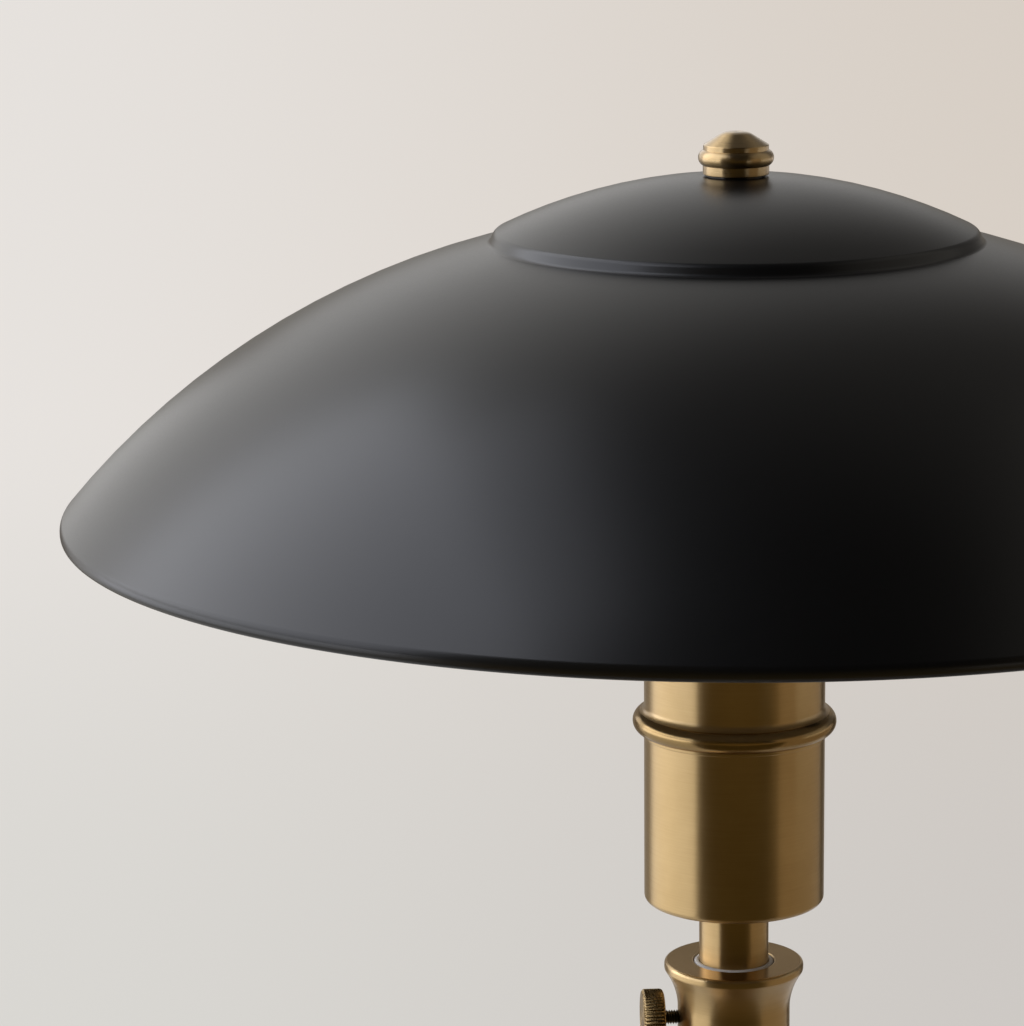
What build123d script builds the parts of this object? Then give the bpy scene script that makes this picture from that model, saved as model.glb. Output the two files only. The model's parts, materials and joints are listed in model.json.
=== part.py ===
"""Height-adjustable task lamp: a black stepped dome shade on a brass column that slides in a clamped collar.

Millimetres, +Z up. The origin is on the table, at the centre of the base, and the column's axis is Z.
The thumb screw points to -X, the socket's switch to +X, and the cord comes out at the back, +Y.
"""
from build123d import *
from math import cos, pi, radians, sin, sqrt, tan
import os

# Clearances
running_fit = 0.06          # radial, between pieces that turn or slide in each other
seat_fit = 0.05             # radial, between pieces that are fixed to each other
thread_fit = 0.08           # radial, between a screw and its nut
face_gap = 0.05             # between flat faces that turn on each other
clear_gap = 0.5             # between pieces that must never touch
cutter_spare = 1.0          # how far a cutting tool runs past what it cuts

# Shade
shade_diameter = 360.0
shade_wall = 1.0
shade_seat_diameter = 22.0
crown_diameter = 124.2
crown_curve = 145.85        # radius of the crown's arc
crown_edge_round = 1.5
step_height = 4.1
step_flare = 5.0            # how far the step's wall leans outwards
step_foot_round = 2.0
dome_drop = 69.45           # from the step's foot down to the rim
dome_curve = 215.9          # radius of the dome's arc
skirt_height = 4.9          # upright edge under the dome
skirt_round = 5.0
hem_width = 3.6             # edge turned in under the skirt
hem_round = 1.5

# Column: a stem that slides in a bushed collar on a fixed post
stem_diameter = 19.0
stem_wall = 1.5
exposed_stem = 17.6         # stem that shows between collar and cup at rest
column_travel = 121.0       # how far the stem can rise before its clip meets the bush
bush_wall = 1.44
bush_length = 33.55
bush_setback = 0.25         # below the collar's top face
guide_wall = 1.08
guide_length = 12.0
guide_clip_thickness = 1.0
guide_clip_reach = 0.7      # how far a clip stands out of the stem
guide_groove_depth = 0.5
guide_offset = 3.0          # stem left below the lower clip
post_wall = 2.0
collar_height = 274.0       # top of the collar above the table
collar_length = 46.0
collar_wall = 2.65          # round the post
collar_lip_reach = 3.67     # how far the lip stands out from the neck
collar_lip_height = 3.3
collar_lip_round = 2.0
collar_flare_drop = 8.2
collar_flare_round = 14.0
collar_bead_reach = 1.6
collar_bead_height = 6.0
collar_bead_round = 1.4

# Clamp
screw_diameter = 4.0
screw_pitch = 0.7
screw_thread_depth = 0.35
screw_drop = 16.1           # axis below the collar's top face
screw_shown = 3.9           # thread that shows between collar and head
screw_head_diameter = 15.8
screw_head_length = 6.0
screw_head_chamfer = 0.7
knurl_count = 48
knurl_depth = 0.4
pad_diameter = 5.2
pad_length = 1.85
pad_travel = 0.9            # room behind the pad in the collar

# Bulb
cap_diameter = 26.2
cap_wall = 0.6
cap_height = 24.0
cap_lap = 6.0
tip_diameter = 9.0
tip_height = 2.0
vitrite_diameter = 19.0
vitrite_height = 3.0
bulb_diameter = 46.0
bulb_wall = 0.8
bulb_neck_length = 5.0
bulb_neck_angle = 25.0
bulb_neck_round = 18.0
bulb_headroom = 20.8        # room over the bulb, so that it can be unscrewed under the harp

# Socket and switch
shell_gap = 0.6             # between the bulb's cap and the screw shell
shell_wall = 0.8
insulator_wall = 2.45
socket_rise = 46.4          # underside of the socket above the cup's underside
socket_base_height = 34.0
socket_grip = 5.0           # pipe inside the socket
socket_mouth_height = 26.0
contact_diameter = 6.4
contact_length = 10.0
contact_lift = 4.0          # contact above the socket's inner floor
contact_travel = 1.5        # how far the sprung contact can be pressed down
terminal_diameter = 5.0
terminal_length = 5.0
terminal_reach = 1.4
terminal_rise = 12.0
terminal_angle = 40.0
switch_depth = 8.0          # switch axis below the socket's inner floor
switch_diameter = 4.0
switch_grip = 3.5
knob_diameter = 12.0
knob_length = 13.0
knob_gap = 2.5
knob_chamfer = 1.2
knob_ribs = 14
knob_rib_depth = 0.5

# Harp
harp_wire = 3.8
harp_gap = 1.1              # between the socket and the harp's feet
harp_bulb_gap = 14.1        # between the bulb and the harp's bow
harp_bow_start = 10.0       # the bow starts this far above the sleeve
harp_bow_low = 0.36         # where the bow is widest, as shares of its height
harp_bow_high = 0.68
harp_turn_reach = 13.0      # level run of the wire beside the hub
bend_share = 0.45           # share of a run that each of its two bends takes
ferrule_wall = 0.85
ferrule_length = 18.0
saddle_thickness = 2.0
saddle_width = 12.0
saddle_pin_diameter = 2.8
saddle_pin_height = 14.0
hub_diameter = 18.0
hub_cheek = 3.2             # metal over the wire
hub_wire_depth = 3.0
hub_round = 0.8
stud_diameter = 6.3
stud_length = 8.4           # above the shade
stud_round = 0.5

# Finial
finial_height = 11.2
finial_foot_diameter = 17.5
finial_foot_height = 2.4
finial_bead_reach = 1.25
finial_bead_height = 4.1
finial_neck_inset = 0.1
finial_neck_height = 1.3
finial_top_diameter = 6.4
finial_gap = 0.5            # shadow gap between the shade and the finial's foot
finial_rim = 0.9            # wall of the foot round the washer
washer_thickness = 1.6

# Cup, sleeve and the pipe that holds them
pipe_diameter = 10.0
pipe_bore = 6.8
plug_length = 12.0
plug_spare = 1.4            # thread left empty in a plug
nut_across_flats = 16.0
nut_height = 4.5
cup_wall = 1.2
cup_height = 52.1
cup_round = 1.6
bead_reach = 3.1
bead_height = 6.1
bead_lap = 5.5              # how far the sleeve's foot laps over the cup's rim
lip_reach = 0.6
lip_height = 0.9
sleeve_length = 48.3        # above the cup's rim

# Base
base_diameter = 178.0
base_wall = 1.2
base_edge_height = 17.0
base_edge_round = 3.0
base_edge_gap = 1.0         # cover's edge above the table
base_ledge_width = 13.0
base_ledge_rise = 3.0
base_step_height = 4.5
base_step_lean = 1.5
base_step_round = 2.0
base_dome_rise = 9.5
base_dome_curve = 170.0
base_flat_margin = 2.0      # flat top left round the foot
felt_thickness = 2.0
felt_margin = 4.0
plate_thickness = 1.5
weight_gap = 1.8
weight_round = 1.0
weight_boss_diameter = 36.0
pocket_gap = 2.0            # round the washer and under the nut
channel_width = 9.0
base_washer_diameter = 26.0
base_washer_thickness = 2.0
base_screw_diameter = 4.0
base_screw_head_diameter = 8.0
base_screw_length = 10.0
base_screw_circle = 100.0
base_screw_count = 3
foot_wall = 2.65
foot_lip_reach = 5.6
foot_lip_height = 3.3
foot_lip_round = 2.0
foot_flare_rise = 10.1
foot_flare_round = 7.0
foot_height = 22.0
foot_top_round = 1.5
cord_bush_bore = 6.4
cord_bush_wall = 1.2
cord_bush_flange_reach = 1.6
cord_bush_flange_thickness = 2.5
cord_bush_round = 1.2
cord_bush_depth = 9.0
cord_bush_gap = 0.9         # above the base plate

# Radii, from the stem and the bulb's cap outwards
stem_radius = stem_diameter / 2
stem_bore = stem_radius - stem_wall
bush_radius = stem_radius + running_fit + bush_wall
guide_radius = stem_radius + running_fit + guide_wall
post_bore = guide_radius + running_fit
post_radius = post_bore + post_wall
neck_radius = post_radius + seat_fit + collar_wall
collar_lip_radius = neck_radius + collar_lip_reach
foot_neck_radius = post_radius + seat_fit + foot_wall
foot_radius = foot_neck_radius + foot_lip_reach
pipe_radius = pipe_diameter / 2
cap_radius = cap_diameter / 2
shell_radius = cap_radius + shell_gap + shell_wall
socket_radius = shell_radius + seat_fit + insulator_wall
ferrule_radius = harp_wire / 2 + seat_fit + ferrule_wall
harp_offset = socket_radius + harp_gap + harp_wire / 2
cup_bore = harp_offset + ferrule_radius + clear_gap
cup_radius = cup_bore + cup_wall
stud_radius = stud_diameter / 2
shade_radius = shade_diameter / 2
crown_radius = crown_diameter / 2
seat_radius = shade_seat_diameter / 2
finial_radius = finial_foot_diameter / 2
washer_radius = finial_radius - finial_rim - clear_gap / 2
base_radius = base_diameter / 2
base_bore = pipe_radius + seat_fit
cord_bush_radius = cord_bush_bore / 2 + cord_bush_wall
globe_radius = bulb_diameter / 2

# Levels, from the table up
plate_level = felt_thickness
weight_level = plate_level + plate_thickness
pocket_top = weight_level + pocket_gap + nut_height + base_washer_thickness
cord_level = weight_level + cord_bush_gap + cord_bush_radius
ledge_level = base_edge_gap + base_edge_height
step_level = ledge_level + base_ledge_rise
dome_level = step_level + base_step_height
cover_top = dome_level + base_dome_rise
bush_top = collar_height - bush_setback
post_top = bush_top - bush_length
screw_level = collar_height - screw_drop
cup_level = collar_height + exposed_stem
cup_floor = cup_level + cup_wall
saddle_level = cup_floor + saddle_thickness
pin_top = saddle_level + saddle_pin_height
cup_rim = cup_level + cup_height
sleeve_top = cup_rim + sleeve_length
guide_stack = guide_offset + 2 * guide_clip_thickness + 2 * face_gap + guide_length
stem_bottom = post_top - column_travel - guide_stack
socket_level = cup_level + socket_rise
socket_floor = socket_level + socket_base_height
socket_mouth = socket_floor + socket_mouth_height
switch_level = socket_floor - switch_depth
bulb_level = socket_floor + contact_lift
cap_level = bulb_level + tip_height + vitrite_height
cap_top = cap_level + cap_height

# The bulb's globe: its neck leaves the cap upright and meets the globe on a tangent
neck_slope = radians(bulb_neck_angle)
glass_neck = cap_radius - cap_wall - seat_fit
neck_level = cap_top + bulb_neck_length
join_radius = globe_radius * cos(neck_slope)
join_level = neck_level + (join_radius - glass_neck) / tan(neck_slope)
globe_level = join_level + globe_radius * sin(neck_slope)
bulb_top = globe_level + globe_radius

# The harp clears the bulb, and the shade sits on the harp
hub_level = bulb_top + bulb_headroom
wire_level = hub_level + clear_gap + harp_wire / 2
hub_top = wire_level + harp_wire / 2 + hub_cheek
shade_top = hub_top + shade_wall
stud_top = shade_top + stud_length


def turned(*corners):
    """A turned piece: corners are (radius, height) or (radius, height, rounding)."""
    points = [corner[:2] for corner in corners]
    rounds = [corner[2] if len(corner) > 2 else 0 for corner in corners]
    outline = FilletPolyline(*points, radius=rounds, close=True)
    return revolve(Plane.XZ * make_face(outline), Axis.Z)


def tube(outer, inner, low, high):
    return turned((inner, low), (outer, low), (outer, high), (inner, high))


def rod(radius, low, high):
    return Pos(0, 0, low) * Cylinder(radius, high - low, align=(Align.CENTER, Align.CENTER, Align.MIN))


def rounded(face, *corners):
    """The flat face with each corner nearest to (radius, height, rounding) rounded."""
    for radius, height, rounding in corners:
        corner = face.vertices().sort_by_distance((radius, height))[0]
        face = fillet(corner, rounding)
    return face


def spun(outline, wall, *openings):
    """A spun sheet: the skin of a closed outline, less openings given as (inner, outer, low, high)."""
    skin = outline - offset(outline, amount=-wall, kind=Kind.INTERSECTION)
    for inner, outer, low, high in openings:
        skin -= Pos((inner + outer) / 2, (low + high) / 2) * Rectangle(outer - inner, high - low)
    return revolve(Plane.XZ * skin, Axis.Z)


def hex_nut(across_flats, bore, low, high):
    prism = extrude(RegularPolygon(across_flats / 2, 6, major_radius=False), high - low)
    return Pos(0, 0, low) * prism - rod(bore, low, high)


def knurled(radius, length, chamfer, depth, count):
    """A round knob along +Z with small straight teeth and chamfered ends."""
    points = []
    for tooth in range(2 * count):
        reach = radius - depth * (tooth % 2)
        angle = pi * tooth / count
        points.append((reach * cos(angle), reach * sin(angle)))
    teeth = extrude(make_face(Polyline(*points, close=True)), length)
    envelope = turned(
        (0, 0),
        (radius - chamfer, 0),
        (radius, chamfer),
        (radius, length - chamfer),
        (radius - chamfer, length),
        (0, length),
    )
    return teeth & envelope


def along_x(part, sign=1):
    """Turn a piece made along +Z to lie along +X, or along -X."""
    return Rot(0, 90 * sign, 0) * part


# Base

def base_felt():
    return rod(base_radius - felt_margin, 0, felt_thickness)


def screw_places():
    return PolarLocations(base_screw_circle / 2, base_screw_count)


def countersunk(fit, spare):
    """A countersunk screw, head down and flush with the plate's underside, or the hole that takes it."""
    head = base_screw_head_diameter / 2 + fit
    shank = base_screw_diameter / 2 + fit
    end = plate_level + base_screw_length + spare
    neck = plate_level + head - shank
    return turned((0, plate_level), (head, plate_level), (shank, neck), (shank, end), (0, end))


def base_screws():
    return [place * countersunk(0, 0) for place in screw_places()]


def drilled(part):
    """The part with its holes for the base screws."""
    for place in screw_places():
        part -= place * countersunk(seat_fit, clear_gap)
    return part


def base_plate():
    return drilled(rod(base_radius - base_wall - seat_fit, plate_level, weight_level))


def base_weight():
    """A cast ring with a boss under the cover, a pocket for the nut and a channel for the cord."""
    edge = base_radius - base_ledge_width - base_step_lean - base_wall - weight_gap
    boss = weight_boss_diameter / 2
    boss_top = cover_top - base_wall
    pocket = base_washer_diameter / 2 + pocket_gap
    weight = turned(
        (base_bore, pocket_top),
        (pocket, pocket_top),
        (pocket, weight_level),
        (edge, weight_level),
        (edge, dome_level - base_wall - weight_gap, weight_round),
        (boss, boss_top - weight_gap),
        (boss, boss_top),
        (base_bore, boss_top),
    )
    length = edge + cutter_spare
    height = pocket_top - weight_level
    channel = Pos(0, length / 2, weight_level + height / 2) * Box(channel_width, length, height)
    return drilled(weight) - channel


def base_cover():
    step = base_radius - base_ledge_width
    dome = step - base_step_lean
    flat = foot_radius + base_flat_margin
    corner = (base_radius, base_edge_gap)
    far_corner = (-base_radius, base_edge_gap)
    profile = [
        Polyline(far_corner, corner, (base_radius, ledge_level), (step, step_level), (dome, dome_level)),
        RadiusArc((dome, dome_level), (flat, cover_top), -base_dome_curve),
        Polyline((flat, cover_top), (-base_radius, cover_top), far_corner),
    ]
    outline = rounded(
        make_face(Curve() + profile),
        (base_radius, ledge_level, base_edge_round),
        (step, step_level, base_step_round),
        (dome, dome_level, base_step_round),
    )
    cover = spun(
        outline,
        base_wall,
        (-base_diameter, base_bore, 0, cover_top + cutter_spare),
        (0, base_radius - base_wall, 0, base_edge_gap + base_wall + cutter_spare),
    )
    cord_hole = Cylinder(cord_bush_radius + seat_fit, 2 * cord_bush_depth)
    return cover - Pos(0, base_radius, cord_level) * Rot(90, 0, 0) * cord_hole


def cord_bush():
    """A flanged bush through the cover's edge, where the cord comes out."""
    bore = cord_bush_bore / 2
    flange = cord_bush_radius + cord_bush_flange_reach
    bush = turned(
        (bore, -cord_bush_depth),
        (cord_bush_radius, -cord_bush_depth),
        (cord_bush_radius, 0),
        (flange, 0),
        (flange, cord_bush_flange_thickness, cord_bush_round),
        (bore, cord_bush_flange_thickness),
    )
    return Pos(0, base_radius, cord_level) * Rot(-90, 0, 0) * bush


def base_washer():
    return tube(base_washer_diameter / 2, base_bore, pocket_top - base_washer_thickness, pocket_top)


def base_nut():
    top = pocket_top - base_washer_thickness
    return hex_nut(nut_across_flats, base_bore, top - nut_height, top)


def base_nipple():
    return tube(pipe_radius, pipe_bore / 2, weight_level + clear_gap, cover_top + plug_length - plug_spare)


def post_plug():
    return tube(post_bore - seat_fit, base_bore, cover_top, cover_top + plug_length)


def post_foot():
    """A trumpet foot, like the collar upside down."""
    bore = post_radius + seat_fit
    return turned(
        (bore, cover_top),
        (foot_radius, cover_top),
        (foot_radius, cover_top + foot_lip_height, foot_lip_round),
        (foot_neck_radius, cover_top + foot_flare_rise, foot_flare_round),
        (foot_neck_radius, cover_top + foot_height, foot_top_round),
        (bore, cover_top + foot_height),
    )


# Post and collar

def post_tube():
    return tube(post_radius, post_bore, cover_top, post_top)


def collar():
    """A trumpet-lipped collar: bored for the bush above the post's end, and for the post below it."""
    bead = neck_radius + collar_bead_reach
    bush = bush_radius + seat_fit
    post = post_radius + seat_fit
    bottom = collar_height - collar_length
    body = turned(
        (bush, collar_height),
        (collar_lip_radius, collar_height, collar_lip_round),
        (collar_lip_radius, collar_height - collar_lip_height, collar_lip_round),
        (neck_radius, collar_height - collar_flare_drop, collar_flare_round),
        (neck_radius, bottom + collar_bead_height),
        (bead, bottom + collar_bead_height, collar_bead_round),
        (bead, bottom, collar_bead_round),
        (post, bottom),
        (post, post_top),
        (bush, post_top),
    )
    thread = rod(screw_diameter / 2 + thread_fit, 0, collar_lip_radius)
    pocket = rod(pad_diameter / 2 + running_fit, 0, stem_radius + running_fit + pad_length + pad_travel)
    return body - Pos(0, 0, screw_level) * along_x(thread + pocket, -1)


def collar_bush():
    ring = tube(bush_radius, stem_radius + running_fit, post_top, bush_top)
    window = rod(pad_diameter / 2 + running_fit, 0, bush_radius + cutter_spare)
    return ring - Pos(0, 0, screw_level) * along_x(window, -1)


# Clamp: pad and screw, made along +Z from the stem's axis outwards

def clamp_pad():
    start = stem_radius + running_fit
    return Pos(0, 0, screw_level) * along_x(rod(pad_diameter / 2, start, start + pad_length), -1)


def thumb_screw():
    start = stem_radius + running_fit + pad_length + face_gap
    head_start = neck_radius + screw_shown
    crest = screw_diameter / 2
    root = crest - screw_thread_depth
    turns = int((head_start - start) / screw_pitch) - 1
    thread = [(0, head_start), (root, head_start)]
    for turn in range(turns):
        thread.append((crest, head_start - (turn + 0.5) * screw_pitch))
        thread.append((root, head_start - (turn + 1) * screw_pitch))
    thread += [(root, start), (0, start)]
    head = knurled(screw_head_diameter / 2, screw_head_length, screw_head_chamfer, knurl_depth, knurl_count)
    screw = turned(*thread) + Pos(0, 0, head_start) * head
    return Pos(0, 0, screw_level) * along_x(screw, -1)


# Stem and its guide

def clip_level(index):
    """Lower face of clip 0, below the guide, or of clip 1, above it."""
    return stem_bottom + guide_offset + index * (guide_clip_thickness + 2 * face_gap + guide_length)


def stem_tube():
    stem = tube(stem_radius, stem_bore, stem_bottom, cup_level)
    groove = stem_radius - guide_groove_depth
    for index in range(2):
        low = clip_level(index)
        stem -= tube(stem_radius + cutter_spare, groove, low, low + guide_clip_thickness)
    return stem


def guide_clips():
    """Two snap rings, each open at one side."""
    inner = stem_radius - guide_groove_depth
    outer = stem_radius + guide_clip_reach
    clips = []
    for index in range(2):
        low = clip_level(index)
        ring = tube(outer, inner, low, low + guide_clip_thickness)
        mouth = Pos(outer, 0, low + guide_clip_thickness / 2) * Box(outer, outer, 2 * guide_clip_thickness)
        clips.append(ring - mouth)
    return clips


def guide_ring():
    low = clip_level(0) + guide_clip_thickness + face_gap
    return tube(guide_radius, stem_radius + running_fit, low, low + guide_length)


def stem_plug():
    return tube(stem_bore - seat_fit, base_bore, cup_level - plug_length, cup_level)


def riser_pipe():
    return tube(pipe_radius, pipe_bore / 2, cup_level - plug_length + plug_spare, socket_level + socket_grip)


# Cup and sleeve

def socket_cup():
    over = cup_rim + cup_wall + cutter_spare
    block = Pos(0, (cup_level + over) / 2) * Rectangle(2 * cup_radius, over - cup_level)
    return spun(
        rounded(block.face(), (cup_radius, cup_level, cup_round)),
        cup_wall,
        (-2 * cup_radius, base_bore, cup_level - cutter_spare, over + cutter_spare),
        (-2 * cup_radius, 2 * cup_radius, cup_rim, over + cutter_spare),
    )


def socket_sleeve():
    """The sleeve stands on the cup's rim, and its foot laps over it with a thin lip and a half-round bead."""
    lap = cup_rim - bead_lap
    lip = cup_radius + lip_reach
    bead_low = lap + lip_height
    bead_top = bead_low + bead_height
    bead_crest = (cup_radius + bead_reach, (bead_low + bead_top) / 2)
    lap_bore = cup_radius + seat_fit
    outline = [
        Polyline((cup_bore, cup_rim), (lap_bore, cup_rim), (lap_bore, lap), (lip, lap), (lip, bead_low)),
        ThreePointArc((lip, bead_low), bead_crest, (cup_radius, bead_top)),
        Polyline((cup_radius, bead_top), (cup_radius, sleeve_top), (cup_bore, sleeve_top)),
        Line((cup_bore, sleeve_top), (cup_bore, cup_rim)),
    ]
    sleeve = revolve(Plane.XZ * make_face(Curve() + outline), Axis.Z)
    hole = rod(switch_diameter / 2 + clear_gap, 0, cup_radius + cutter_spare)
    return sleeve - Pos(0, 0, switch_level) * along_x(hole)


def cup_nut():
    return hex_nut(nut_across_flats, base_bore, saddle_level, saddle_level + nut_height)


# Harp

def harp_saddle():
    """A strap on the cup's floor with two upright pins."""
    reach = harp_offset + saddle_pin_diameter / 2
    strap = Pos(0, 0, cup_floor + saddle_thickness / 2) * Box(saddle_width, 2 * reach, saddle_thickness)
    strap -= rod(base_bore, cup_floor, saddle_level)
    for side in (-1, 1):
        strap += Pos(0, side * harp_offset, 0) * rod(saddle_pin_diameter / 2, cup_floor, pin_top)
    return strap


def bent(points):
    """Straight runs joined by bends, each as large as its two runs allow."""
    points = [Vector(*point) for point in points]
    radii = []
    for before, corner, after in zip(points, points[1:], points[2:]):
        arriving = corner - before
        leaving = after - corner
        turn = radians(arriving.get_angle(leaving))
        radii.append(bend_share * min(arriving.length, leaving.length) / tan(turn / 2))
    return FilletPolyline(*points, radius=radii)


def harp_arm(side):
    """One wire, from its foot over a pin, up inside the sleeve, round the bulb and into the hub."""
    start = sleeve_top + harp_bow_start
    height = wire_level - start
    feet = side * harp_offset
    bow = side * (globe_radius + harp_bulb_gap + harp_wire / 2)
    hub_end = hub_diameter / 2 - hub_wire_depth
    turn_end = hub_diameter / 2 + harp_turn_reach
    path = bent([
        (0, feet, pin_top + clear_gap),
        (0, feet, start),
        (0, bow, start + harp_bow_low * height),
        (0, bow, start + harp_bow_high * height),
        (0, side * turn_end, wire_level),
        (0, side * hub_end, wire_level),
    ])
    return sweep(Plane(path @ 0, z_dir=path % 0) * Circle(harp_wire / 2), path=path)


def harp_arms():
    return [harp_arm(side) for side in (-1, 1)]


def harp_ferrules():
    low = saddle_level + face_gap
    ferrule = tube(ferrule_radius, harp_wire / 2 + seat_fit, low, low + ferrule_length)
    return [Pos(0, side * harp_offset, 0) * ferrule for side in (-1, 1)]


def harp_hub():
    """The hub that the wires end in, with the stud that the shade and the finial go on."""
    hub = turned(
        (0, hub_level),
        (hub_diameter / 2, hub_level, hub_round),
        (hub_diameter / 2, hub_top),
        (stud_radius, hub_top),
        (stud_radius, stud_top, stud_round),
        (0, stud_top),
    )
    hole = rod(harp_wire / 2 + seat_fit, hub_diameter / 2 - hub_wire_depth, hub_diameter / 2 + cutter_spare)
    for side in (-1, 1):
        hub -= Pos(0, 0, wire_level) * Rot(-90 * side, 0, 0) * hole
    return hub


# Shade and finial

def shade():
    """One spun sheet: flat seat, shallow crown, step, dome, upright skirt and a hem turned in."""
    crown_fall = sqrt(crown_curve**2 - seat_radius**2) - sqrt(crown_curve**2 - crown_radius**2)
    crown_level = shade_top - crown_fall
    foot_level = crown_level - step_height
    foot = crown_radius + step_flare
    rim_level = foot_level - dome_drop
    hem_level = rim_level - skirt_height
    far_corner = (-shade_radius, hem_level)
    profile = [
        Polyline(far_corner, (shade_radius, hem_level), (shade_radius, rim_level)),
        RadiusArc((shade_radius, rim_level), (foot, foot_level), -dome_curve),
        Line((foot, foot_level), (crown_radius, crown_level)),
        RadiusArc((crown_radius, crown_level), (seat_radius, shade_top), -crown_curve),
        Polyline((seat_radius, shade_top), (-shade_radius, shade_top), far_corner),
    ]
    skirt_bend = min(skirt_round, 2 * (skirt_height - hem_round))
    outline = rounded(
        make_face(Curve() + profile),
        (crown_radius, crown_level, crown_edge_round),
        (foot, foot_level, step_foot_round),
        (shade_radius, rim_level, skirt_bend),
        (shade_radius, hem_level, hem_round),
    )
    return spun(
        outline,
        shade_wall,
        (-shade_diameter, stud_radius + clear_gap / 2, hem_level - cutter_spare, shade_top + cutter_spare),
        (0, shade_radius - hem_width, hem_level - cutter_spare, hem_level + shade_wall + cutter_spare),
    )


def finial_washer():
    return tube(washer_radius, stud_radius + clear_gap / 2, shade_top, shade_top + washer_thickness)


def finial():
    """A turned nut with a half-round bead and a cone, hollow for the stud and the washer."""
    low = shade_top + finial_gap
    foot_top = low + finial_foot_height
    bead_top = foot_top + finial_bead_height
    neck_top = bead_top + finial_neck_height
    top = low + finial_height
    hole = stud_radius + thread_fit
    hole_top = stud_top + clear_gap
    recess = finial_radius - finial_rim
    recess_top = shade_top + washer_thickness + face_gap
    neck = finial_radius - finial_neck_inset
    bead_crest = (finial_radius + finial_bead_reach, (foot_top + bead_top) / 2)
    profile = [
        Polyline((recess, low), (finial_radius, low), (finial_radius, foot_top)),
        ThreePointArc((finial_radius, foot_top), bead_crest, (neck, bead_top)),
        Polyline((neck, bead_top), (neck, neck_top), (finial_top_diameter / 2, top), (0, top), (0, hole_top)),
        Polyline((0, hole_top), (hole, hole_top), (hole, recess_top), (recess, recess_top), (recess, low)),
    ]
    return revolve(Plane.XZ * make_face(Curve() + profile), Axis.Z)


# Socket and switch

def terminal_places():
    level = socket_level + terminal_rise
    return [Pos(0, 0, level) * Rot(0, 0, 180 + side * terminal_angle) for side in (-1, 1)]


def socket_base():
    """The socket's body, bored for the pipe, the sprung contact, the switch and the terminals."""
    body = rod(socket_radius, socket_level, socket_floor)
    body -= rod(base_bore, socket_level, socket_level + socket_grip)
    contact_floor = bulb_level - face_gap - contact_length - contact_travel - clear_gap
    body -= rod(contact_diameter / 2 + running_fit, contact_floor, socket_floor)
    outside = socket_radius + cutter_spare
    shaft = rod(switch_diameter / 2 + running_fit, socket_radius - switch_grip - clear_gap, outside)
    body -= Pos(0, 0, switch_level) * along_x(shaft)
    hole = rod(terminal_diameter / 2 + seat_fit, socket_radius - terminal_length, outside)
    for place in terminal_places():
        body -= place * along_x(hole)
    return body


def terminal_screws():
    start = socket_radius - terminal_length
    screw = along_x(rod(terminal_diameter / 2, start, socket_radius + terminal_reach))
    return [place * screw for place in terminal_places()]


def socket_insulator():
    return tube(socket_radius, shell_radius + seat_fit, socket_floor, socket_mouth)


def screw_shell():
    bore = shell_radius - shell_wall
    floor_bore = tip_diameter / 2 + clear_gap
    floor_top = socket_floor + shell_wall
    top = socket_mouth - clear_gap
    return turned(
        (floor_bore, socket_floor),
        (shell_radius, socket_floor),
        (shell_radius, top),
        (bore, top),
        (bore, floor_top),
        (floor_bore, floor_top),
    )


def contact_button():
    top = bulb_level - face_gap
    return rod(contact_diameter / 2, top - contact_length, top)


def switch_shaft():
    end = cup_radius + knob_gap + knob_length / 2
    return Pos(0, 0, switch_level) * along_x(rod(switch_diameter / 2, socket_radius - switch_grip, end))


def switch_knob():
    start = cup_radius + knob_gap
    knob = knurled(knob_diameter / 2, knob_length, knob_chamfer, knob_rib_depth, knob_ribs)
    hole = rod(switch_diameter / 2 + seat_fit, 0, knob_length / 2)
    return Pos(0, 0, switch_level) * along_x(Pos(0, 0, start) * (knob - hole))


# Bulb

def bulb_tip():
    return rod(tip_diameter / 2, bulb_level, bulb_level + tip_height)


def bulb_insulator():
    low = bulb_level + tip_height
    return turned((0, low), (tip_diameter / 2, low), (vitrite_diameter / 2, cap_level), (0, cap_level))


def bulb_cap():
    bore = cap_radius - cap_wall
    shoulder = cap_level + vitrite_height
    return turned(
        (0, cap_level),
        (vitrite_diameter / 2, cap_level),
        (cap_radius, shoulder),
        (cap_radius, cap_top),
        (bore, cap_top),
        (bore, shoulder + cap_wall),
        (0, shoulder + cap_wall),
    )


def bulb_glass():
    """A thin globe whose neck is cemented into the cap."""
    low = cap_top - cap_lap
    join = (join_radius, join_level)
    over_join = (join_radius, 2 * globe_level - join_level)
    far_corner = (-globe_radius, low)
    profile = [
        Polyline(far_corner, (glass_neck, low), (glass_neck, neck_level), join),
        ThreePointArc(join, over_join, (0, bulb_top)),
        Polyline((0, bulb_top), (-globe_radius, bulb_top), far_corner),
    ]
    outline = rounded(make_face(Curve() + profile), (glass_neck, neck_level, bulb_neck_round))
    return spun(
        outline,
        bulb_wall,
        (-bulb_diameter, 0, low - cutter_spare, bulb_top + cutter_spare),
        (-bulb_diameter, bulb_diameter, low - cutter_spare, low + bulb_wall),
    )


pieces = [
    base_felt, base_plate, base_screws, base_weight, base_cover, cord_bush,
    base_washer, base_nut, base_nipple, post_plug, post_foot,
    post_tube, collar, collar_bush,
    clamp_pad, thumb_screw,
    stem_tube, guide_clips, guide_ring, stem_plug, riser_pipe,
    socket_cup, socket_sleeve, cup_nut,
    harp_saddle, harp_arms, harp_ferrules, harp_hub,
    shade, finial_washer, finial,
    socket_base, socket_insulator, screw_shell, terminal_screws, contact_button,
    switch_shaft, switch_knob,
    bulb_tip, bulb_insulator, bulb_cap, bulb_glass,
]

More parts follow.
